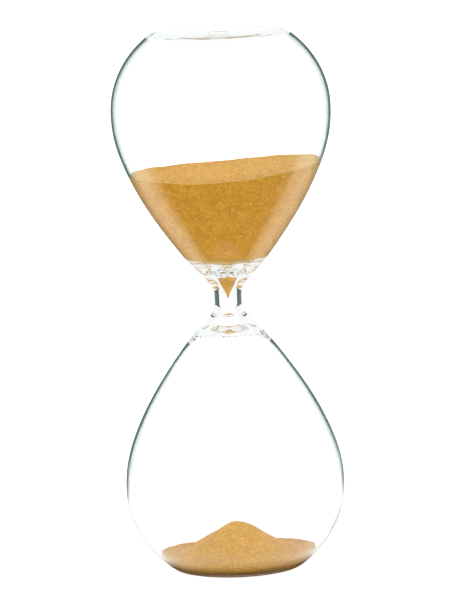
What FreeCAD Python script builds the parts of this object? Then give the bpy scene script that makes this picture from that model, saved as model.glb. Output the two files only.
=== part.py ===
"""Frameless blown-glass hourglass: two fused bulbs, a heavy-walled neck and its sand.

Millimetres, +Z up. The origin is the centre of the circle that the hourglass stands on.
Half profiles are drawn as (radius, height above the neck centre) and turned about the Z axis.
"""

import FreeCAD, Part
from collections import namedtuple
import math
import os

# --- driving dimensions -------------------------------------------------------------------

# The two halves of the glass: length from the neck centre to the closed end, half axis of the
# shoulder's ellipse along Z, degrees round that ellipse to the corner of the closed end, and the
# funnel inside the neck as control points. The lower bulb is blown a little longer.
Half = namedtuple("Half", "length shoulder_depth corner_start funnel")
UPPER = Half(98.3, 36.0, 49.0, [(0.45, 1.4), (2.3, 5.0), (3.2, 9.4), (4.9, 11.0)])
LOWER = Half(99.5, 36.5, 53.0, [(0.45, 1.2), (2.1, 4.8), (3.5, 9.2), (5.4, 11.0)])
NECK_CENTRE = LOWER.length
TOTAL_HEIGHT = LOWER.length + UPPER.length

# Outside of one bulb
BULB_RADIUS = 40.0
BELLY_HEIGHT = 69.2          # widest circle, measured from the neck centre
WAIST_RADIUS = 5.2
WAIST_HALF_LENGTH = 1.5      # straight stretch of the waist, each side of the neck centre

# Blown cone between the waist and the belly: control points, (radius, height above the neck centre)
OUTER_CONE = [(5.2, 3.0), (6.5, 6.0), (9.9, 9.0), (14.3, 13.9), (22.4, 24.8), (29.6, 35.8),
              (35.3, 47.2), (39.0, 57.5), (40.0, 64.5)]

# Closed ends, on either of which the glass stands
STANDING_RING_INNER = 18.0
PUNT_DEPTH = 1.2             # how far the middle of the end is pushed in

# Glass walls
BELLY_WALL = 0.75
SHOULDER_WALL = 0.95         # taken off the shoulder's half axis along Z
END_WALL = 1.4

# Inside of the neck: a fine orifice that opens into the two funnels and then into two bowls
ORIFICE_RADIUS = 0.45
ORIFICE_HALF_LENGTH = 0.4
INNER_CONE = [(12.9, 12.9), (21.75, 25.3), (28.95, 36.2), (34.55, 47.5), (38.25, 57.7),
              (39.25, 64.4)]
SEAM_HEIGHT = 13.0           # fused seams between the neck and the bulbs

# Sealed filling hole in the middle of the top end
SEAL_RADIUS = 3.6
SEAL_PIP = 0.9               # how far the melted pip hangs into the bulb

# Sand. Both surfaces are shallow troughs along Y, higher where they meet the glass at the sides:
# control heights at the left, over the axis and at the right.
SAND_GAP = 0.05              # between the sand and the glass
TROUGH_HALF_WIDTH = 45.0
UPPER_TROUGH = (NECK_CENTRE + 47.5, NECK_CENTRE + 43.3, NECK_CENTRE + 52.0)
LOWER_TROUGH = (7.2, 2.4, 8.0)
HEAP_OUTLINE = [(0.0, 16.9), (2.6, 16.9), (8.0, 13.5), (13.5, 10.0), (18.5, 7.3), (24.0, 5.7),
                (31.0, 4.2)]

# Falling thread of sand under the orifice
STREAM_RADIUS = 0.3
STREAM_TOP = NECK_CENTRE - 1.6
STREAM_LENGTH = 7.4
STREAM_CLEARANCE = 0.4       # left above the heap at the end of the fall

AXIS = FreeCAD.Vector(0, 0, 1)
ORIGIN = FreeCAD.Vector(0, 0, 0)
FAR = 4 * TOTAL_HEIGHT


# --- profile helpers ------------------------------------------------------------------------

def point(radius, height):
    """A point of a half profile, in the XZ plane."""
    return FreeCAD.Vector(radius, 0, height)


def line(start, end):
    return Part.LineSegment(point(*start), point(*end)).toShape()


def flowing(poles):
    """Smooth curve drawn by its control points, tangent to the first and the last leg."""
    curve = Part.BSplineCurve()
    curve.buildFromPoles([point(*p) for p in poles], False, 3)
    return curve.toShape()


def arc_through(start, middle, end):
    return Part.Arc(point(*start), point(*middle), point(*end)).toShape()


def shoulder(radius, depth, corner_start, end_height):
    """Ellipse from the belly up the shoulder, then a tangent corner onto the flat end.

    Returns the two edges and the radius where the flat begins.
    """
    centre = point(0, BELLY_HEIGHT)
    ellipse = Part.Ellipse(point(radius, BELLY_HEIGHT), point(0, BELLY_HEIGHT + depth), centre)
    turn = math.radians(corner_start)
    side = Part.ArcOfEllipse(ellipse, 0, turn).toShape()
    touch = (radius * math.cos(turn), BELLY_HEIGHT + depth * math.sin(turn))
    inward = (-depth * math.cos(turn), -radius * math.sin(turn))
    length = math.hypot(*inward)
    inward = (inward[0] / length, inward[1] / length)
    corner_radius = (end_height - touch[1]) / (1 + inward[1])
    middle_of_corner = (touch[0] + corner_radius * inward[0], touch[1] + corner_radius * inward[1])
    half_turn = (math.atan2(-inward[1], -inward[0]) + math.pi / 2) / 2
    on_corner = (middle_of_corner[0] + corner_radius * math.cos(half_turn),
                 middle_of_corner[1] + corner_radius * math.sin(half_turn))
    flat_start = (middle_of_corner[0], end_height)
    return [side, arc_through(touch, on_corner, flat_start)], flat_start[0]


def dome(rim_radius, rim_height, middle_height):
    """Circular arc from a rim to the middle of a shallow dome or hollow, on the axis."""
    rise = middle_height - rim_height
    sphere_radius = (rim_radius ** 2 + rise ** 2) / (2 * abs(rise))
    half_way = rim_radius / 2
    drop = sphere_radius - math.sqrt(sphere_radius ** 2 - half_way ** 2)
    on_arc = (half_way, middle_height - math.copysign(drop, rise))
    return arc_through((rim_radius, rim_height), on_arc, (0, middle_height))


def closed_end(radius, depth, corner_start, end_height, ring_radius):
    """Edges from the belly to the axis over the shoulder, the standing ring and the punt."""
    edges, flat_start = shoulder(radius, depth, corner_start, end_height)
    edges.append(line((flat_start, end_height), (ring_radius, end_height)))
    edges.append(dome(ring_radius, end_height, end_height - PUNT_DEPTH))
    return edges


def outer_edges(half):
    """Outside of half the glass, from the neck centre to the axis at the closed end."""
    waist_end = (WAIST_RADIUS, WAIST_HALF_LENGTH)
    cone = flowing([waist_end] + OUTER_CONE + [(BULB_RADIUS, BELLY_HEIGHT)])
    waist = line((WAIST_RADIUS, 0), waist_end)
    end = closed_end(BULB_RADIUS, half.shoulder_depth, half.corner_start, half.length,
                     STANDING_RING_INNER)
    return [waist, cone] + end


def inner_edges(half, gap=0.0):
    """Inside of half the glass, shrunk by gap, from the neck centre to the axis at the closed end."""
    orifice = ORIFICE_RADIUS - gap
    orifice_end = (orifice, ORIFICE_HALF_LENGTH)
    radius = BULB_RADIUS - BELLY_WALL - gap
    cone_points = [(r - gap, height) for r, height in half.funnel + INNER_CONE]
    bowl = flowing([orifice_end] + cone_points + [(radius, BELLY_HEIGHT)])
    depth = half.shoulder_depth - SHOULDER_WALL - gap
    end_height = half.length - END_WALL - gap
    throat = line((orifice, 0), orifice_end)
    ring_radius = STANDING_RING_INNER - END_WALL / 2
    return [throat, bowl] + closed_end(radius, depth, half.corner_start, end_height, ring_radius)


def turned(edges):
    """Solid made by turning a closed half profile once round the Z axis."""
    face = Part.Face(Part.Wire(Part.__sortEdges__(edges)))
    solid = face.revolve(ORIGIN, AXIS, 360)
    return solid if solid.ShapeType == "Solid" else solid.Solids[0]


def half_glass(half):
    """Glass on one side of the neck centre, open at the orifice."""
    top = half.length - PUNT_DEPTH
    bottom_face = line((ORIFICE_RADIUS, 0), (WAIST_RADIUS, 0))
    end_face = line((0, top), (0, top - END_WALL))
    return turned(outer_edges(half) + inner_edges(half) + [bottom_face, end_face])


def half_cavity(half):
    """Space inside half the glass, a little smaller than the glass leaves."""
    top = half.length - END_WALL - SAND_GAP - PUNT_DEPTH
    floor = line((0, 0), (ORIFICE_RADIUS - SAND_GAP, 0))
    return turned(inner_edges(half, SAND_GAP) + [floor, line((0, 0), (0, top))])


def slab(low, high):
    """Wide flat block between two heights."""
    corner = FreeCAD.Vector(-FAR / 2, -FAR / 2, low)
    return Part.makeBox(FAR, FAR, high - low, corner)


def below_trough(heights):
    """Everything under a shallow trough that runs along Y, down to the height of the origin."""
    width = TROUGH_HALF_WIDTH
    left, middle, right = heights
    surface = Part.BezierCurve()
    surface.setPoles([point(-width, left), point(0, middle), point(width, right)])
    outline = [
        surface.toShape(),
        line((width, right), (width, 0)),
        line((width, 0), (-width, 0)),
        line((-width, 0), (-width, left)),
    ]
    face = Part.Face(Part.Wire(Part.__sortEdges__(outline)))
    solid = face.extrude(FreeCAD.Vector(0, 2 * width, 0))
    solid.translate(FreeCAD.Vector(0, -width, 0))
    return solid


def upright(solid):
    """From the neck's own heights to the hourglass's, for the upper half."""
    placed = solid.copy()
    placed.translate(FreeCAD.Vector(0, 0, NECK_CENTRE))
    return placed


def upside_down(solid):
    """The same for the lower half, turned end for end."""
    placed = solid.copy()
    placed.rotate(ORIGIN, FreeCAD.Vector(1, 0, 0), 180)
    placed.translate(FreeCAD.Vector(0, 0, NECK_CENTRE))
    return placed


# --- the pieces -------------------------------------------------------------------------------

def filling_hole():
    foot = UPPER.length - PUNT_DEPTH - 2 * END_WALL
    return Part.makeCylinder(SEAL_RADIUS, UPPER.length - foot, FreeCAD.Vector(0, 0, foot), AXIS)


def upper_bulb():
    """Blown bulb with its filling hole, from the upper seam to the closed end."""
    glass = half_glass(UPPER).common(slab(SEAM_HEIGHT, FAR / 2))
    return upright(glass.cut(filling_hole()))


def lower_bulb():
    """Blown bulb from the lower seam to the end that it stands on."""
    return upside_down(half_glass(LOWER).common(slab(SEAM_HEIGHT, FAR / 2)))


def neck():
    """Heavy-walled joint that holds the orifice, between the two seams."""
    near = slab(-SEAM_HEIGHT, SEAM_HEIGHT)
    upper_part = upright(half_glass(UPPER).common(near))
    lower_part = upside_down(half_glass(LOWER).common(near))
    return upper_part.fuse(lower_part).removeSplitter()


def fill_seal():
    """Melted plug that closes the filling hole, with a small pip on its inner side."""
    outer_face = TOTAL_HEIGHT - PUNT_DEPTH
    inner_face = outer_face - END_WALL
    edges = [
        line((0, outer_face), (SEAL_RADIUS, outer_face)),
        line((SEAL_RADIUS, outer_face), (SEAL_RADIUS, inner_face)),
        dome(SEAL_RADIUS, inner_face, inner_face - SEAL_PIP),
        line((0, inner_face - SEAL_PIP), (0, outer_face)),
    ]
    return turned(edges)


def upper_sand():
    """Sand left in the upper bulb, down to the orifice, higher towards +X."""
    return upright(half_cavity(UPPER)).common(below_trough(UPPER_TROUGH))


def lower_sand():
    """Sand that has run through: a heap on a shallow bed."""
    top, edge = HEAP_OUTLINE[0], HEAP_OUTLINE[-1]
    heap = turned([
        flowing(HEAP_OUTLINE),
        line(edge, (edge[0], 0)),
        line((edge[0], 0), (0, 0)),
        line((0, 0), top),
    ])
    return upside_down(half_cavity(LOWER)).common(heap.fuse(below_trough(LOWER_TROUGH)))


def sand_stream():
    """Thread of falling sand, where it has just left the orifice."""
    foot = FreeCAD.Vector(0, 0, STREAM_TOP - STREAM_LENGTH)
    return Part.makeCylinder(STREAM_RADIUS, STREAM_LENGTH, foot, AXIS)


PIECES = {
    "upper_bulb": upper_bulb,
    "neck": neck,
    "lower_bulb": lower_bulb,
    "fill_seal": fill_seal,
    "upper_sand": upper_sand,
    "lower_sand": lower_sand,
    "sand_stream": sand_stream,
}

os.makedirs("parts", exist_ok=True)
for name, make in PIECES.items():
    shape = make()
    solids = shape.Solids
    box = shape.BoundBox
    print(f"{name}: {len(solids)} solid, valid {shape.isValid()}, {shape.Volume:.1f} mm3, "
          f"x {box.XMin:.2f}..{box.XMax:.2f}, z {box.ZMin:.2f}..{box.ZMax:.2f}")
    solids[0].exportStep(os.path.join("parts", name + ".step"))
heap_height = HEAP_OUTLINE[0][1]
print(f"stream travel {STREAM_TOP - STREAM_LENGTH - heap_height - STREAM_CLEARANCE:.2f} mm")
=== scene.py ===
from collections import namedtuple
import math
import random

import bpy
from mathutils import Euler, Matrix, Vector, noise


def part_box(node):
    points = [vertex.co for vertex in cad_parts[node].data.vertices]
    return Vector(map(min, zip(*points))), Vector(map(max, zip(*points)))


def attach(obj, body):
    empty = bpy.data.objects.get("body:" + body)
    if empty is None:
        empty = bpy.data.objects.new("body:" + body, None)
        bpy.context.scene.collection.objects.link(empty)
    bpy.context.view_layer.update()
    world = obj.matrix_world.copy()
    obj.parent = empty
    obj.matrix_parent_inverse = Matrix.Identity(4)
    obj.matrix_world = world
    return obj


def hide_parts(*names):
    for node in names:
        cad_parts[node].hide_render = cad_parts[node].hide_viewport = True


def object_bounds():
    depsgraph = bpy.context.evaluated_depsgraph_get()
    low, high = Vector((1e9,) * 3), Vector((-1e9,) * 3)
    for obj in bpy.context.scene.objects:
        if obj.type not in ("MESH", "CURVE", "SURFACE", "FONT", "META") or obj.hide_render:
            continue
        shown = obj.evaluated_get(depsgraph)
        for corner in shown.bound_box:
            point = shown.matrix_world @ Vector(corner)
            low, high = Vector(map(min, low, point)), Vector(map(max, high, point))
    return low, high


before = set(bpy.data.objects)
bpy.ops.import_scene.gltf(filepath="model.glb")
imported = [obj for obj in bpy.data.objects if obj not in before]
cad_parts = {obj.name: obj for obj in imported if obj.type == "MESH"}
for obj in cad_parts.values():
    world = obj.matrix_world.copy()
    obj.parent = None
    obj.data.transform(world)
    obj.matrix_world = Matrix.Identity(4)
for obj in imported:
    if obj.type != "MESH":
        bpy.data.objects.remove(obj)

MM = 0.001      # metres
cad_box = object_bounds()

# --- sizes, in millimetres, as on the real object ---------------------------------------------

Half = namedtuple("Half", "length shoulder_depth corner_start funnel")
UPPER = Half(98.3, 36.0, 49.0, [(0.45, 1.4), (2.3, 5.0), (3.2, 9.4), (4.9, 11.0)])
LOWER = Half(99.5, 36.5, 53.0, [(0.45, 1.2), (2.1, 4.8), (3.5, 9.2), (5.4, 11.0)])
TOTAL_HEIGHT = UPPER.length + LOWER.length
NECK_CENTRE = LOWER.length
BULB_RADIUS = cad_box[1][0] / MM
BELLY_HEIGHT = 69.2     # of the widest place, from the neck centre
WAIST_RADIUS = 5.2
WAIST_HALF_LENGTH = 1.5
# control points (radius, height above the neck centre) of the cone between neck and belly
OUTER_CONE = [(5.2, 3.0), (6.5, 6.0), (9.9, 9.0), (14.3, 13.9), (22.4, 24.8), (29.6, 35.8),
              (35.3, 47.2), (39.0, 57.5), (40.0, 64.5)]
STANDING_RING_INNER = 18.0
PUNT_DEPTH = 1.2
BELLY_WALL = 0.75
SHOULDER_WALL = 0.95
END_WALL = 1.4
ORIFICE_RADIUS = 0.45
ORIFICE_HALF_LENGTH = 0.4
# the same for its inside; the funnel of each half leads up to it
INNER_CONE = [(12.9, 12.9), (21.75, 25.3), (28.95, 36.2), (34.55, 47.5), (38.25, 57.7), (39.25, 64.4)]
WAVE_DEPTH = 0.10       # slight waviness of the whole blown skin
WAVE_LENGTH = 22.0
SEAM_HEIGHT = 11.5      # middle of the ripples that fusing has left in the skin, from the neck centre
SEAM_REACH = 3.0
SEAM_PITCH = 1.7
SEAM_DEPTH = 0.10
BEAD_LENGTH = 1.6
NECK_WORKED = 15.5      # how far the flame-worked glass reaches from the neck centre
END_WORKED = 2.0        # and down from a closed end
SEAL_RADIUS = 3.6
SEAL_PIP = 0.9
SEAL_CROWN = 0.1
SEAL_EDGE = 0.25        # rounding of the plug's upper rim
SEAL_GAP = 0.03
RIM_OUTSIDE = 20.0      # the sand's rim has a larger radius than this in both bulbs
HALVINGS = 20           # of a row's height, to find where the sand's surface meets the glass
NECK_GAP = 0.08         # air between the sand and the smooth inside of the neck
PRESSED = -0.04         # higher up the sand is pressed to the glass, with no air between
PRESSED_FROM = 14.6     # from the neck centre
PRESSED_FULLY = 16.6
TROUGH_HALF_WIDTH = 45.0
# heights at the left end, the middle control point and the right end
UPPER_TROUGH = (NECK_CENTRE + 47.5, NECK_CENTRE + 43.3, NECK_CENTRE + 52.0)
LOWER_TROUGH = (7.2, 2.4, 8.0)
SWELL_DEPTH = 0.3       # soft swells in both surfaces
UPPER_SWELL_LENGTH = 9.0
LOWER_SWELL_LENGTH = 6.0
HEAP_TIP_RADIUS = 6.0   # the swells fade out towards the tip of the heap
HEAP_OUTLINE = [(0.0, 16.9), (2.6, 16.9), (8.0, 13.5), (13.5, 10.0), (18.5, 7.3), (24.0, 5.7),
                (31.0, 4.2)]
STREAM_RADIUS = 0.3
STREAM_GRAINS = 120
STREAM_SEED = 11
STREAM_GRAIN_SIZE = 0.10
STREAM_THINNING = 1.25  # power by which the grains draw apart as they fall
STREAM_MARGIN = 0.15    # from the first and last grain to the ends of the thread
LOOSE_GRAIN_SIZES = (0.12, 0.24)
LOOSE_GRAIN_SINK = 0.08         # up or down from the sand's surface
LOOSE_GRAIN_SEED = 5
GRAIN_UNEVENNESS = (0.75, 1.25)

ON_AXIS_BELOW = 1e-6    # a smaller radius counts as 0
SEGMENTS = 192          # round the axis, for the glass
SEAL_SEGMENTS = 96
SAND_SEGMENTS = 224
CONE_ROWS_OUTSIDE = 110
CONE_ROWS_INSIDE = 120
SHOULDER_ROWS = 30
END_ROWS = 14

WHITE = (1.0, 1.0, 1.0, 1.0)
GLASS_TINT = (0.70, 0.93, 0.89, 1)


# --- half profiles: lists of (radius, height above the neck centre) ---------------------------

def flowing(poles, count):
    """Points on the clamped cubic curve of these control points."""
    degree = 3
    spans = len(poles) - degree
    knots = [0] * degree + list(range(spans + 1)) + [spans] * degree
    points = []
    for step in range(count + 1):
        at = spans * step / count
        span = min(int(at), spans - 1) + degree
        near = [Vector(poles[span - degree + j]) for j in range(degree + 1)]
        for level in range(1, degree + 1):
            for j in range(degree, level - 1, -1):
                low = knots[span - degree + j]
                high = knots[span + 1 + j - level]
                share = (at - low) / (high - low)
                near[j] = near[j - 1].lerp(near[j], share)
        points.append(tuple(near[degree]))
    return points


def straight(start, end, count):
    """Evenly spaced points from start, which is left out, to end."""
    return [tuple(Vector(start).lerp(Vector(end), step / count)) for step in range(1, count + 1)]


def shoulder(radius, depth, corner_start, end_height, rows):
    """Ellipse up the shoulder, then the tangent corner onto the flat end."""
    turn = math.radians(corner_start)
    points = [(radius * math.cos(turn * step / rows),
               BELLY_HEIGHT + depth * math.sin(turn * step / rows)) for step in range(1, rows + 1)]
    touch = points[-1]
    inward = Vector((-depth * math.cos(turn), -radius * math.sin(turn))).normalized()
    corner = (end_height - touch[1]) / (1 + inward[1])
    middle = (touch[0] + corner * inward[0], touch[1] + corner * inward[1])
    begin = math.atan2(-inward[1], -inward[0])
    for step in range(1, rows // 2 + 1):
        angle = begin + (math.pi / 2 - begin) * step / (rows // 2)
        points.append((middle[0] + corner * math.cos(angle), middle[1] + corner * math.sin(angle)))
    return points


def dome(rim_radius, rim_height, rise, last_radius, rows):
    """Shallow spherical hollow from its rim inwards, as far as last_radius."""
    sphere = (rim_radius ** 2 + rise ** 2) / (2 * abs(rise))
    points = []
    for step in range(1, rows + 1):
        radius = rim_radius + (last_radius - rim_radius) * step / rows
        drop = math.sqrt(sphere ** 2 - radius ** 2) - (sphere - abs(rise))
        points.append((radius, rim_height + math.copysign(drop, rise)))
    return points


def outer_half(half, last_radius):
    """Outside of half the glass, from the neck centre to last_radius on the closed end."""
    points = [(WAIST_RADIUS, 0.0)]
    points += straight(points[0], (WAIST_RADIUS, WAIST_HALF_LENGTH), 2)[:-1]
    points += flowing([(WAIST_RADIUS, WAIST_HALF_LENGTH)] + OUTER_CONE
                      + [(BULB_RADIUS, BELLY_HEIGHT)], CONE_ROWS_OUTSIDE)
    points += shoulder(BULB_RADIUS, half.shoulder_depth, half.corner_start, half.length, SHOULDER_ROWS)
    points += straight(points[-1], (STANDING_RING_INNER, half.length), 4)
    points += dome(STANDING_RING_INNER, half.length, -PUNT_DEPTH, last_radius, END_ROWS)
    return points


def inner_half(half, last_radius, gap=0.0):
    """Inside of half the glass, shrunk by gap."""
    radius = BULB_RADIUS - BELLY_WALL - gap
    end_height = half.length - END_WALL - gap
    throat = ORIFICE_RADIUS - gap
    ring = STANDING_RING_INNER - END_WALL / 2
    poles = [(throat, ORIFICE_HALF_LENGTH)] + [(r - gap, h) for r, h in half.funnel + INNER_CONE]
    points = [(throat, 0.0)]
    points += flowing(poles + [(radius, BELLY_HEIGHT)], CONE_ROWS_INSIDE)
    depth = half.shoulder_depth - SHOULDER_WALL - gap
    points += shoulder(radius, depth, half.corner_start, end_height, SHOULDER_ROWS)
    points += straight(points[-1], (ring, end_height), 4)
    points += dome(ring, end_height, -PUNT_DEPTH, last_radius, END_ROWS)
    return points


def raised(points):
    """Upper half in the object's own heights."""
    return [(r, NECK_CENTRE + h) for r, h in points]


def hung(points):
    """Lower half in the object's own heights."""
    return [(r, NECK_CENTRE - h) for r, h in points]


# --- mesh helpers -------------------------------------------------------------------------------

def mesh_object(name, vertices, faces, smooth=True):
    """Object with this mesh, in the scene. Its vertices are in metres."""
    data = bpy.data.meshes.new(name)
    data.from_pydata(vertices, [], faces)
    data.validate()
    data.update()
    if smooth:
        data.polygons.foreach_set("use_smooth", [True] * len(data.polygons))
    piece = bpy.data.objects.new(name, data)
    bpy.context.scene.collection.objects.link(piece)
    return piece


def lathe(name, profile, segments, place):
    """Closed surface of revolution. place(radius, height, angle) gives each vertex in metres.

    A profile point with radius 0 becomes one vertex on the axis.
    """
    vertices = []
    rows = []
    for radius, height in profile:
        if radius < ON_AXIS_BELOW:
            rows.append([len(vertices)])
            vertices.append(place(0.0, height, 0.0))
        else:
            rows.append(list(range(len(vertices), len(vertices) + segments)))
            vertices += [place(radius, height, 2 * math.pi * k / segments)
                         for k in range(segments)]
    faces = []
    for low, high in zip(rows, rows[1:]):
        for k in range(segments):
            after = (k + 1) % segments
            if len(low) == 1:
                faces.append((low[0], high[after], high[k]))
            elif len(high) == 1:
                faces.append((low[k], low[after], high[0]))
            else:
                faces.append((low[k], low[after], high[after], high[k]))
    return mesh_object(name, vertices, faces)


def on_axis(radius, height, angle):
    """Place in metres, from millimetres around the hourglass's axis."""
    return (radius * math.cos(angle) * MM, radius * math.sin(angle) * MM, height * MM)


# --- node helpers --------------------------------------------------------------------------------

def math_node(tree, operation, first, second=None, third=None):
    """Output of a Math node. Each of the inputs is a socket or a number."""
    node = tree.nodes.new("ShaderNodeMath")
    node.operation = operation
    for socket, value in zip(node.inputs, (first, second, third)):
        if isinstance(value, (int, float)):
            socket.default_value = value
        elif value is not None:
            tree.links.new(value, socket)
    return node.outputs[0]


def ramp_node(tree, value, start, end):
    """0 at start and 1 at end, level beyond them."""
    node = tree.nodes.new("ShaderNodeMapRange")
    node.inputs["From Min"].default_value = start
    node.inputs["From Max"].default_value = end
    tree.links.new(value, node.inputs["Value"])
    return node.outputs[0]


def colour_mix(tree, share, first, second):
    """Blend of two colours, each a socket or a tuple."""
    node = tree.nodes.new("ShaderNodeMix")
    node.data_type = "RGBA"
    tree.links.new(share, node.inputs["Factor"])
    for socket, value in ((node.inputs["A"], first), (node.inputs["B"], second)):
        if isinstance(value, tuple):
            socket.default_value = value
        else:
            tree.links.new(value, socket)
    return node.outputs["Result"]


def colour_product(tree, first, second):
    """Two colour sockets, multiplied."""
    node = tree.nodes.new("ShaderNodeMix")
    node.data_type = "RGBA"
    node.blend_type = "MULTIPLY"
    node.inputs["Factor"].default_value = 1.0
    tree.links.new(first, node.inputs["A"])
    tree.links.new(second, node.inputs["B"])
    return node.outputs["Result"]


# --- materials ------------------------------------------------------------------------------------

GLASS_IOR = 1.5
CORD_SCALE = 70         # per metre
CORD_STRETCH = 0.35     # the cords run along the axis, the way the glass was drawn
CORD_TINT = (0.955, 0.985, 0.98, 1)
WAVE_BUMP = 0.3         # millimetres
GRAIN_SCALE = 2100      # sand grains per metre
PATCH_SCALE = 260
PATCH_SHADE = (0.86, 0.83, 0.78, 1)
GRAIN_SHADES = [(0.0, (0.60, 0.285, 0.014, 1)), (0.35, (0.69, 0.35, 0.026, 1)),
                (0.85, (0.76, 0.405, 0.038, 1)), (1.0, (0.88, 0.52, 0.085, 1))]
PAINTED_LOW_SHADE = (0.24, 0.18, 0.12, 1)    # painted shade, darkening the sand against the lower end, which gets little light
PAINTED_SHADE_UP_TO = 1.8      # millimetres above the stand: fully in this shade below here,
PAINTED_SHADE_NONE_FROM = 4.6  # and not at all above here


def new_material(name):
    """Material without nodes, and its node tree."""
    material = bpy.data.materials.new(name)
    material.use_nodes = True
    tree = material.node_tree
    tree.nodes.clear()
    return material, tree


def glass_material(name, roughness, absorption, density, ripple):
    """Clear glass with faint cords of a greener melt, a slightly wavy skin and a tint in depth.

    ripple is the strength of the waves in the skin.
    """
    material, tree = new_material(name)
    nodes = tree.nodes
    link = tree.links.new
    out = nodes.new("ShaderNodeOutputMaterial")
    shader = nodes.new("ShaderNodeBsdfPrincipled")
    where = nodes.new("ShaderNodeTexCoord")
    stretch = nodes.new("ShaderNodeMapping")
    stretch.inputs["Scale"].default_value = (1.0, 1.0, CORD_STRETCH)
    link(where.outputs["Object"], stretch.inputs["Vector"])
    cords = nodes.new("ShaderNodeTexNoise")
    cords.inputs["Scale"].default_value = CORD_SCALE
    cords.inputs["Detail"].default_value = 2
    link(stretch.outputs[0], cords.inputs["Vector"])
    cast = nodes.new("ShaderNodeValToRGB")
    cast.color_ramp.elements[0].position = 0.35
    cast.color_ramp.elements[0].color = CORD_TINT
    cast.color_ramp.elements[1].position = 0.6
    cast.color_ramp.elements[1].color = WHITE
    link(cords.outputs[0], cast.inputs[0])
    link(cast.outputs[0], shader.inputs["Base Color"])
    waves = nodes.new("ShaderNodeBump")
    waves.inputs["Strength"].default_value = ripple
    waves.inputs["Distance"].default_value = WAVE_BUMP * MM
    link(cords.outputs[0], waves.inputs["Height"])
    link(waves.outputs[0], shader.inputs["Normal"])
    shader.inputs["Roughness"].default_value = roughness
    shader.inputs["IOR"].default_value = GLASS_IOR
    shader.inputs["Transmission Weight"].default_value = 1.0
    volume = nodes.new("ShaderNodeVolumeAbsorption")
    volume.inputs["Color"].default_value = absorption
    volume.inputs["Density"].default_value = density
    link(shader.outputs[0], out.inputs["Surface"])
    link(volume.outputs[0], out.inputs["Volume"])
    return material


def sand_material(name):
    """Golden sand: grains of several shades with a rough, dusty surface, and painted shade low down against
    the lower end.
    """
    material, tree = new_material(name)
    nodes = tree.nodes
    link = tree.links.new
    out = nodes.new("ShaderNodeOutputMaterial")
    shader = nodes.new("ShaderNodeBsdfPrincipled")
    where = nodes.new("ShaderNodeTexCoord")
    grains = nodes.new("ShaderNodeTexVoronoi")
    grains.inputs["Scale"].default_value = GRAIN_SCALE
    link(where.outputs["Object"], grains.inputs["Vector"])
    shade = nodes.new("ShaderNodeSeparateColor")
    link(grains.outputs["Color"], shade.inputs[0])
    ramp = nodes.new("ShaderNodeValToRGB")
    ramp.color_ramp.elements[0].color = GRAIN_SHADES[0][1]
    ramp.color_ramp.elements[1].color = GRAIN_SHADES[-1][1]
    for position, colour in GRAIN_SHADES[1:-1]:
        ramp.color_ramp.elements.new(position).color = colour
    link(shade.outputs[0], ramp.inputs[0])
    patches = nodes.new("ShaderNodeTexNoise")
    patches.inputs["Scale"].default_value = PATCH_SCALE
    patches.inputs["Detail"].default_value = 4
    link(where.outputs["Object"], patches.inputs["Vector"])
    patch_ramp = nodes.new("ShaderNodeValToRGB")
    patch_ramp.color_ramp.elements[0].position = 0.3
    patch_ramp.color_ramp.elements[0].color = PATCH_SHADE
    patch_ramp.color_ramp.elements[1].position = 0.7
    link(patches.outputs[0], patch_ramp.inputs[0])
    patched = colour_product(tree, ramp.outputs[0], patch_ramp.outputs[0])
    # painted shade: the sand turns darker towards the bottom of the lower end, where little light reaches
    # it
    place = nodes.new("ShaderNodeSeparateXYZ")
    link(where.outputs["Object"], place.inputs[0])
    height = ramp_node(tree, place.outputs[2], PAINTED_SHADE_UP_TO * MM, PAINTED_SHADE_NONE_FROM * MM)
    painted_shade = colour_mix(tree, height, PAINTED_LOW_SHADE, WHITE)
    link(colour_product(tree, patched, painted_shade), shader.inputs["Base Color"])
    shader.inputs["Roughness"].default_value = 0.62
    shader.inputs["IOR"].default_value = 1.5
    shader.inputs["Specular IOR Level"].default_value = 0.1
    shader.inputs["Sheen Weight"].default_value = 0.25
    shader.inputs["Sheen Roughness"].default_value = 0.35
    bump = nodes.new("ShaderNodeBump")
    bump.inputs["Strength"].default_value = 0.35
    bump.inputs["Distance"].default_value = 0.1 * MM
    link(grains.outputs["Distance"], bump.inputs["Height"])
    link(bump.outputs[0], shader.inputs["Normal"])
    link(shader.outputs[0], out.inputs["Surface"])
    return material


# --- the glass ----------------------------------------------------------------------------------------

def blown(radius, height, angle):
    """Place on the glass in metres, with the waviness of blown work and the ripples of the seams."""
    place = Vector((math.cos(angle) * radius, math.sin(angle) * radius, height))
    share = min(1.0, radius / BULB_RADIUS)
    radius += WAVE_DEPTH * share * noise.noise(place / WAVE_LENGTH)
    from_seam = abs(abs(height - NECK_CENTRE) - SEAM_HEIGHT)
    if from_seam < SEAM_REACH:
        fade = 1 - from_seam / SEAM_REACH
        beads = math.sin(math.tau * from_seam / SEAM_PITCH) + noise.noise(place / BEAD_LENGTH)
        radius += SEAM_DEPTH * fade * beads
    return on_axis(radius, height, angle)


def glass_envelope():
    """Bulbs and neck, fused into one piece of glass with the filling hole in its upper end."""
    lower_outside = hung(outer_half(LOWER, 0.0))[::-1]
    upper_outside = raised(outer_half(UPPER, SEAL_RADIUS))[1:]
    upper_inside = raised(inner_half(UPPER, SEAL_RADIUS))[::-1]
    lower_inside = hung(inner_half(LOWER, 0.0))[1:]
    profile = lower_outside + upper_outside + upper_inside + lower_inside
    return lathe("blown_glass", profile, SEGMENTS, blown)


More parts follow.
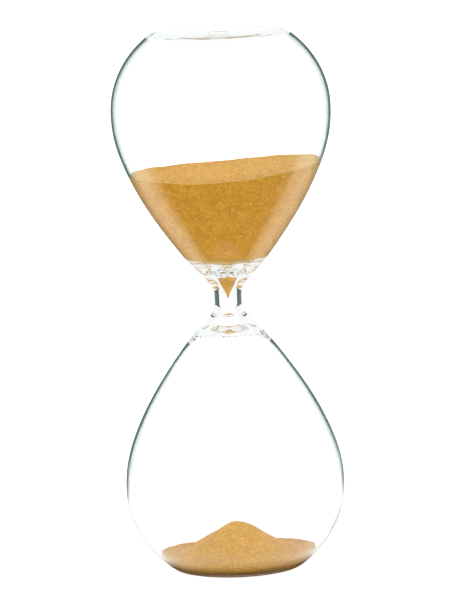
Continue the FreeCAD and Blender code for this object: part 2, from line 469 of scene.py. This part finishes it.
def seal_plug():
    """Melted plug of the filling hole."""
    radius = SEAL_RADIUS - SEAL_GAP
    top = TOTAL_HEIGHT - PUNT_DEPTH
    foot = top - END_WALL
    profile = [(0.0, top + SEAL_CROWN)]
    profile += [(radius * share, top + SEAL_CROWN * (1 - share ** 2)) for share in (0.3, 0.6, 0.85)]
    profile += [(radius - SEAL_EDGE * (1 - math.sin(a)), top - SEAL_EDGE * (1 - math.cos(a)))
                for a in (0.0, 0.4, 0.8, 1.2, math.pi / 2)]
    profile += [(radius, foot)]
    profile += dome(radius, foot, -SEAL_PIP, last_radius=0.0, rows=10)
    return lathe("seal_glass", profile[::-1], SEAL_SEGMENTS, on_axis)


# --- the sand -----------------------------------------------------------------------------------------

def trough(heights, x):
    """Height of a shallow trough along Y, at x."""
    left, middle, right = heights
    share = (x + TROUGH_HALF_WIDTH) / (2 * TROUGH_HALF_WIDTH)
    return left * (1 - share) ** 2 + 2 * middle * share * (1 - share) + right * share ** 2


def height_of_upper_sand(radius, angle):
    """Surface of the upper sand: a shallow trough with a few soft swells."""
    x = radius * math.cos(angle)
    y = radius * math.sin(angle)
    swell = noise.noise(Vector((x, y, 3.7)) / UPPER_SWELL_LENGTH) * SWELL_DEPTH
    return trough(UPPER_TROUGH, x) + swell


def resampled(line, rows):
    """The same line with rows even steps along its length."""
    lengths = [0.0]
    for near, far in zip(line, line[1:]):
        lengths.append(lengths[-1] + math.dist(near, far))
    points = []
    at = 0
    for step in range(rows + 1):
        wanted = lengths[-1] * step / rows
        while at < len(line) - 2 and lengths[at + 1] < wanted:
            at += 1
        share = (wanted - lengths[at]) / max(lengths[at + 1] - lengths[at], 1e-9)
        points.append(tuple(Vector(line[at]).lerp(Vector(line[at + 1]), min(share, 1.0))))
    return points


def up_to_surface(wall, height_at, angle):
    """The part of wall that the sand covers, ending on the sand's surface."""
    line = [wall[0]]
    for below, above in zip(wall, wall[1:]):
        if above[0] > RIM_OUTSIDE and above[1] > height_at(above[0], angle):
            low, high = 0.0, 1.0
            for _ in range(HALVINGS):
                share = (low + high) / 2
                radius = below[0] + (above[0] - below[0]) * share
                height = below[1] + (above[1] - below[1]) * share
                if height > height_at(radius, angle):
                    high = share
                else:
                    low = share
            line.append((radius, height))
            break
        line.append(above)
    return line


def sand_body(name, wall, height_at, wall_rows, top_rows):
    """Closed body of sand: up along the glass as far as its surface, then inwards over the top.

    wall is the inside of the glass, from the axis at the bottom upwards.
    """
    vertices = []
    faces = []
    for k in range(SAND_SEGMENTS):
        angle = 2 * math.pi * k / SAND_SEGMENTS
        line = up_to_surface(wall, height_at, angle)
        for r, z in resampled(line, wall_rows)[1:]:
            share = (abs(z - NECK_CENTRE) - PRESSED_FROM) / (PRESSED_FULLY - PRESSED_FROM)
            share = min(1.0, max(0.0, share))
            vertices.append(blown(r + share * (NECK_GAP - PRESSED), z, angle))
        rim = line[-1][0]
        for step in range(1, top_rows):
            radius = rim * (1 - step / top_rows)
            vertices.append(on_axis(radius, height_at(radius, angle), angle))
    column = wall_rows + top_rows - 1
    bottom = len(vertices)
    vertices.append(on_axis(0, wall[0][1], 0))
    top = len(vertices)
    vertices.append(on_axis(0, height_at(0, 0), 0))
    for k in range(SAND_SEGMENTS):
        here = k * column
        after = ((k + 1) % SAND_SEGMENTS) * column
        faces.append((bottom, after, here))
        for row in range(column - 1):
            faces.append((here + row, after + row, after + row + 1, here + row + 1))
        faces.append((here + column - 1, after + column - 1, top))
    return mesh_object(name, vertices, faces)


def upper_sand():
    return sand_body("upper_sand_body", raised(inner_half(UPPER, 0.0, NECK_GAP)),
                     height_of_upper_sand, wall_rows=120, top_rows=80)


HEAP = flowing(HEAP_OUTLINE, 60)


def height_of_lower_sand(radius, angle):
    """Surface of the lower sand: a heap on a bed that is a shallow trough."""
    x = radius * math.cos(angle)
    y = radius * math.sin(angle)
    height = trough(LOWER_TROUGH, x)
    for (r, z), (r_next, z_next) in zip(HEAP, HEAP[1:]):
        if radius <= r_next:
            height = max(height, z + (z_next - z) * (radius - r) / (r_next - r))
            break
    share = min(1.0, radius / HEAP_TIP_RADIUS)
    return height + share * SWELL_DEPTH * noise.noise(Vector((x, y, 9.1)) / LOWER_SWELL_LENGTH)


def lower_sand():
    return sand_body("lower_sand_body", hung(inner_half(LOWER, 0.0, NECK_GAP))[::-1],
                     height_of_lower_sand, wall_rows=60, top_rows=110)


GRAIN_CORNERS = [(1, 0, 0), (-1, 0, 0), (0, 1, 0), (0, -1, 0), (0, 0, 1), (0, 0, -1)]
GRAIN_FACES = [(0, 2, 4), (2, 1, 4), (1, 3, 4), (3, 0, 4), (2, 0, 5), (1, 2, 5), (3, 1, 5), (0, 3, 5)]


def add_grain(vertices, faces, centre, size, dice):
    """One crushed grain: an uneven eight-sided lump."""
    turn = Euler([dice.uniform(0, math.tau) for _ in range(3)]).to_matrix()
    first = len(vertices)
    for corner in GRAIN_CORNERS:
        reach = size * dice.uniform(*GRAIN_UNEVENNESS)
        vertices.append(tuple(Vector(centre) + turn @ (Vector(corner) * reach * MM)))
    faces += [tuple(first + i for i in face) for face in GRAIN_FACES]


def loose_grains(name, height_at, reach, count):
    """Grains that lie on the surface of the sand, about half sunk in it, out to reach."""
    dice = random.Random(LOOSE_GRAIN_SEED)
    vertices = []
    faces = []
    for _ in range(count):
        radius = reach * math.sqrt(dice.random())
        angle = dice.uniform(0, math.tau)
        sink = dice.uniform(-LOOSE_GRAIN_SINK, LOOSE_GRAIN_SINK)
        centre = on_axis(radius, height_at(radius, angle) + sink, angle)
        add_grain(vertices, faces, centre, dice.uniform(*LOOSE_GRAIN_SIZES), dice)
    return mesh_object(name, vertices, faces, smooth=False)


def stream_grains():
    """Grains falling in a thin thread, further apart as they fall."""
    dice = random.Random(STREAM_SEED)
    low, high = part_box("sand_stream")
    length = high.z - low.z
    vertices = []
    faces = []
    for n in range(STREAM_GRAINS):
        drop = (n + dice.random() * 0.8) / STREAM_GRAINS
        spread = STREAM_RADIUS * MM * (0.35 + 0.3 * drop)
        angle = dice.uniform(0, math.tau)
        off = spread * math.sqrt(dice.random())
        centre = (off * math.cos(angle), off * math.sin(angle),
                  high.z - STREAM_MARGIN * MM - (length - 2 * STREAM_MARGIN * MM) * drop ** STREAM_THINNING)
        add_grain(vertices, faces, centre, STREAM_GRAIN_SIZE, dice)
    return mesh_object("stream_grains", vertices, faces, smooth=False)


# --- stage, light and camera: in metres --------------------------------------------------------------

CARD_EDGE = 0.415       # the cards fill 28 to 62 degrees round from each main axis
SURROUNDINGS = (0.10, 0.18, 0.165, 1)     # the dark room beside the lit background
RIGHT_SURROUNDINGS = (0.24, 0.32, 0.30, 1)
RIGHT_FADE = (0.0, 0.15)        # where the floor turns from one to the other, along x
RIGHT_REACH = (0.95, 0.75)      # and how far from the axis it does so
SIDE_CARDS = (0.02, 0.07, 0.06, 1)
SIDE_LIGHT = (2.2, 2.2, 1.9, 1)
NEAR_LIGHT = (0.40, 0.58)       # middle and half width, as cosines of the angle round from the back
NEAR_LIGHT_REACH = (0.65, 0.35)
FAR_LIGHT = (0.30, 0.42)
PALE = (0.95, 0.975, 0.97, 1)
PAINTED_UNDERSIDE_SHADE = (0.16, 0.09, 0.025, 1)      # painted shadow on the floor under the standing ring, as the glass shows it: the sand's shade
PAINTED_SHADE_REACH = (0.031, 0.025)        # distances from the axis where it begins and is full
FLOOR_HALF_SIZE = 3.0
FLOOR_WHITE = (0.80, 0.80, 0.80, 1)
FLOOR_GLOW = 0.45       # the lit floor, which shines up on the underside of the sand
SHADOW_LIFT = 0.35      # keeps the contact shadow faint
CLOSE = (0.08, 0.05)    # mirrored this near, the floor is bright
BEHIND = (0.06, 0.09)   # from this far behind or beside the hourglass it stays bright for longer
INNER_FADE = (0.20, 0.13)       # lengths of ray over which the mirrored floor turns bright
OUTER_FADE = (0.15, 0.10)
THROUGH_LIFT = 0.9      # the background behind the bulbs is lit this much more
CAMERA_DISTANCE = 2.0
CAMERA_ELEVATION = 8.0      # degrees
CAMERA_ROLL = 2.27          # degrees
PICTURE_HEIGHT = 224.5      # millimetres that the picture shows at the object
AIM = (-0.36, 0.0, 95.9)    # millimetres
LIGHT_BOUNCES = 96      # light is trapped in the thick glass for long


def ray_kinds(tree):
    """Tests, 1 or 0, of how a ray that no matt surface has scattered reached this place.

    outer: mirrored by the outside of blown glass.
    inner: mirrored within one wall of blown glass, as where its outline is seen edge on.
    worked: mirrored by the flame-worked glass of the neck and the closed ends.
    lensed: through solid glass only, as in the neck, and never mirrored.
    through: straight through both walls of a bulb.
    seen: any of these, or none, but not straight from the camera.
    length is how far the ray has come from where it last left the glass.
    """
    path = tree.nodes.new("ShaderNodeLightPath")
    crossed = path.outputs["Transmission Depth"]
    sharp = path.outputs["Is Singular Ray"]
    first = math_node(tree, "LESS_THAN", path.outputs["Diffuse Depth"], 0.5)
    gloss = math_node(tree, "GREATER_THAN", path.outputs["Glossy Depth"], 0.5)
    mirrored = math_node(tree, "MULTIPLY", first, gloss)
    direct = math_node(tree, "SUBTRACT", first, mirrored)
    outside = math_node(tree, "LESS_THAN", crossed, 0.5)
    thin = math_node(tree, "LESS_THAN", crossed, 2.5)
    by_blown = math_node(tree, "MULTIPLY", mirrored, sharp)
    by_worked = math_node(tree, "SUBTRACT", mirrored, by_blown)
    crossed_two = math_node(tree, "COMPARE", crossed, 2, 0.5)
    crossed_more = math_node(tree, "GREATER_THAN", crossed, 2.5)
    not_camera = math_node(tree, "SUBTRACT", 1.0, path.outputs["Is Camera Ray"])
    return {
        "outer": math_node(tree, "MULTIPLY", by_blown, outside),
        "inner": math_node(tree, "MULTIPLY", by_blown, math_node(tree, "SUBTRACT", thin, outside)),
        "worked": math_node(tree, "MULTIPLY", by_worked, thin),
        "lensed": math_node(tree, "MULTIPLY", direct, crossed_two),
        "through": math_node(tree, "MULTIPLY", direct, crossed_more),
        "seen": math_node(tree, "MULTIPLY", first, not_camera),
        "length": path.outputs["Ray Length"],
    }


def flat_direction(tree, vector):
    """x, y and length of the level part of a direction or place."""
    split = tree.nodes.new("ShaderNodeSeparateXYZ")
    tree.links.new(vector, split.inputs[0])
    x, y = split.outputs[0], split.outputs[1]
    square = math_node(tree, "MULTIPLY_ADD", x, x, math_node(tree, "MULTIPLY", y, y))
    return x, y, math_node(tree, "SQRT", square)


def side_lights(tree, vector, centre, half_width):
    """Strength of the soft lights on either side, by the cosine of the angle round from the back."""
    _, y, level = flat_direction(tree, vector)
    off = math_node(tree, "SUBTRACT", math_node(tree, "DIVIDE", y, level), centre)
    off = math_node(tree, "DIVIDE", off, half_width)
    hill = math_node(tree, "SUBTRACT", 1.0, math_node(tree, "MULTIPLY", off, off))
    hill = math_node(tree, "MAXIMUM", hill, 0.0)
    return math_node(tree, "MULTIPLY", hill, hill)


def side_cards(tree, vector):
    """1 where this direction or place lies behind one of four dark cards, diagonally around."""
    x, y, level = flat_direction(tree, vector)
    cross = math_node(tree, "ABSOLUTE", math_node(tree, "MULTIPLY", x, y))
    square = math_node(tree, "MULTIPLY", level, level)
    return math_node(tree, "GREATER_THAN", math_node(tree, "DIVIDE", cross, square), CARD_EDGE)


def surroundings(tree, kinds, vector, inner_share, room, lights):
    """What the glass shows of the studio around it, for each kind of ray.

    inner_share says how dark the rays of the kind inner are, room is the colour of the dark room, and
    lights is the strength of the soft side lights.
    """
    colour = colour_mix(tree, inner_share, WHITE, room)
    outside = colour_mix(tree, lights, room, SIDE_LIGHT)
    colour = colour_mix(tree, kinds["outer"], colour, outside)
    colour = colour_mix(tree, kinds["worked"], colour, PALE)
    cards = math_node(tree, "MULTIPLY", kinds["lensed"], side_cards(tree, vector))
    return colour_mix(tree, cards, colour, SIDE_CARDS)


def build_world():
    """Bright studio that the glass mirrors as a dark room, so its outline reads as a dark line."""
    world = bpy.data.worlds.new("studio")
    bpy.context.scene.world = world
    world.use_nodes = True
    tree = world.node_tree
    tree.nodes.clear()
    out = tree.nodes.new("ShaderNodeOutputWorld")
    back = tree.nodes.new("ShaderNodeBackground")
    tree.links.new(back.outputs[0], out.inputs[0])
    kinds = ray_kinds(tree)
    where = tree.nodes.new("ShaderNodeTexCoord")
    direction = where.outputs["Generated"]
    lights = side_lights(tree, direction, *FAR_LIGHT)
    colour = surroundings(tree, kinds, direction, kinds["inner"], SURROUNDINGS, lights)
    tree.links.new(colour, back.inputs["Color"])
    lift = math_node(tree, "MULTIPLY_ADD", kinds["through"], THROUGH_LIFT, 1.0)
    tree.links.new(lift, back.inputs["Strength"])


def without(tree, kind, share):
    """The test kind, less this share of it."""
    return math_node(tree, "SUBTRACT", kind, math_node(tree, "MULTIPLY", kind, share))


def floor_in_glass(tree):
    """Emission of the floor as the glass shows it: lit near the hourglass and dark further off, with a
    painted shadow under the standing ring.
    """
    kinds = ray_kinds(tree)
    where = tree.nodes.new("ShaderNodeNewGeometry")
    place = where.outputs["Position"]
    x, _, level = flat_direction(tree, place)
    right = math_node(tree, "MULTIPLY", ramp_node(tree, x, *RIGHT_FADE),
                      ramp_node(tree, level, *RIGHT_REACH))
    room = colour_mix(tree, right, SURROUNDINGS, RIGHT_SURROUNDINGS)
    behind = ramp_node(tree, level, *BEHIND)
    close = ramp_node(tree, kinds["length"], *CLOSE)
    inner_lit = math_node(tree, "MULTIPLY", ramp_node(tree, kinds["length"], *INNER_FADE), behind)
    outer_lit = math_node(tree, "MULTIPLY", ramp_node(tree, kinds["length"], *OUTER_FADE), behind)
    dark = without(tree, kinds["inner"], math_node(tree, "MAXIMUM", inner_lit, close))
    kinds["outer"] = without(tree, kinds["outer"], math_node(tree, "MAXIMUM", outer_lit, close))
    near_lights = math_node(tree, "MULTIPLY", side_lights(tree, place, *NEAR_LIGHT),
                            ramp_node(tree, level, *NEAR_LIGHT_REACH))
    lights = math_node(tree, "MAXIMUM", side_lights(tree, place, *FAR_LIGHT), near_lights)
    colour = surroundings(tree, kinds, place, dark, room, lights)
    # painted shadow: as the glass shows it, the floor under the standing ring turns dark brown
    colour = colour_mix(tree, ramp_node(tree, level, *PAINTED_SHADE_REACH), colour, PAINTED_UNDERSIDE_SHADE)
    shine = tree.nodes.new("ShaderNodeEmission")
    tree.links.new(colour, shine.inputs["Color"])
    strength = math_node(tree, "MULTIPLY_ADD", kinds["through"], THROUGH_LIFT, 1.0)
    tree.links.new(strength, shine.inputs["Strength"])
    return kinds["seen"], shine.outputs[0]


def build_floor():
    """Plain pale floor; through the glass it shows as emission, with a painted shadow under the standing
    ring.
    """
    size = FLOOR_HALF_SIZE
    floor = mesh_object("floor", [(-size, -size, 0), (size, -size, 0), (size, size, 0), (-size, size, 0)],
                        [(0, 1, 2, 3)], smooth=False)
    material, tree = new_material("floor_white")
    out = tree.nodes.new("ShaderNodeOutputMaterial")
    white = tree.nodes.new("ShaderNodeBsdfDiffuse")
    white.inputs["Color"].default_value = FLOOR_WHITE
    path = tree.nodes.new("ShaderNodeLightPath")
    lift = tree.nodes.new("ShaderNodeEmission")
    glow = math_node(tree, "MULTIPLY_ADD", path.outputs["Is Camera Ray"], SHADOW_LIFT, FLOOR_GLOW)
    tree.links.new(glow, lift.inputs["Strength"])
    lit = tree.nodes.new("ShaderNodeAddShader")
    tree.links.new(white.outputs[0], lit.inputs[0])
    tree.links.new(lift.outputs[0], lit.inputs[1])
    in_glass, shown = floor_in_glass(tree)
    pick = tree.nodes.new("ShaderNodeMixShader")
    tree.links.new(in_glass, pick.inputs["Fac"])
    tree.links.new(lit.outputs[0], pick.inputs[1])
    tree.links.new(shown, pick.inputs[2])
    tree.links.new(pick.outputs[0], out.inputs["Surface"])
    floor.data.materials.append(material)


def build_lights():
    """One round softbox overhead, a little in front of the hourglass and tipped to the front."""
    data = bpy.data.lights.new("softbox_above", "AREA")
    data.shape = "DISK"
    data.size = 1.4
    data.energy = 15.0
    lamp = bpy.data.objects.new("softbox_above", data)
    lamp.location = (0, -0.25, 1.5)
    lamp.rotation_euler = (math.radians(-9), 0, 0)
    lamp.visible_glossy = False
    lamp.visible_transmission = False
    bpy.context.scene.collection.objects.link(lamp)


def build_camera():
    """Camera a little above the middle of the hourglass, turned a little about its own axis."""
    data = bpy.data.cameras.new("camera")
    data.sensor_fit = "VERTICAL"
    data.sensor_height = 36.0
    data.lens = data.sensor_height * CAMERA_DISTANCE / (PICTURE_HEIGHT * MM)
    data.clip_start = 0.01
    data.clip_end = 50
    camera = bpy.data.objects.new("camera", data)
    bpy.context.scene.collection.objects.link(camera)
    up = math.radians(CAMERA_ELEVATION)
    aim = Vector(AIM) * MM
    camera.location = aim + Vector((0, -math.cos(up), math.sin(up))) * CAMERA_DISTANCE
    turn = (aim - camera.location).to_track_quat("-Z", "Y").to_matrix()
    roll = Matrix.Rotation(math.radians(-CAMERA_ROLL), 3, "Z")
    camera.rotation_euler = (turn @ roll).to_euler()
    bpy.context.scene.camera = camera


# --- assembly ------------------------------------------------------------------------------------------

clear_glass = glass_material("clear_blown_glass", 0.0, GLASS_TINT, 6.0, 0.15)
worked_glass = glass_material("flame_worked_glass", 0.012, GLASS_TINT, 1.2, 0.4)
golden_sand = sand_material("golden_sand")

envelope = glass_envelope()
envelope.data.materials.append(clear_glass)
envelope.data.materials.append(worked_glass)
for face in envelope.data.polygons:
    height = face.center.z / MM
    at_end = not END_WORKED < height < TOTAL_HEIGHT - END_WORKED
    if at_end or abs(height - NECK_CENTRE) < NECK_WORKED:
        face.material_index = 1
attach(envelope, "glass")
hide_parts("upper_bulb", "neck", "lower_bulb")

plug = seal_plug()
plug.data.materials.append(worked_glass)
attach(plug, "glass")
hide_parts("fill_seal")

for piece in (envelope, plug):
    piece.visible_shadow = False     # light reaches the sand as it would through clear glass

for make, node in ((upper_sand, "upper_sand"), (lower_sand, "lower_sand")):
    sand = make()
    sand.data.materials.append(golden_sand)
    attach(sand, "glass")
    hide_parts(node)

for name, height_at, reach, count in (
        ("upper_loose_grains", height_of_upper_sand, 33.0, 3200),
        ("lower_loose_grains", height_of_lower_sand, 27.5, 2600)):
    grains = loose_grains(name, height_at, reach, count)
    grains.data.materials.append(golden_sand)
    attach(grains, "glass")

stream = stream_grains()
stream.data.materials.append(golden_sand)
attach(stream, "stream")
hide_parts("sand_stream")

build_world()
build_floor()
build_lights()
build_camera()
bpy.context.scene.view_settings.view_transform = "Standard"
bpy.context.scene.cycles.max_bounces = LIGHT_BOUNCES
bpy.context.scene.cycles.transmission_bounces = LIGHT_BOUNCES
bpy.context.scene.cycles.glossy_bounces = LIGHT_BOUNCES
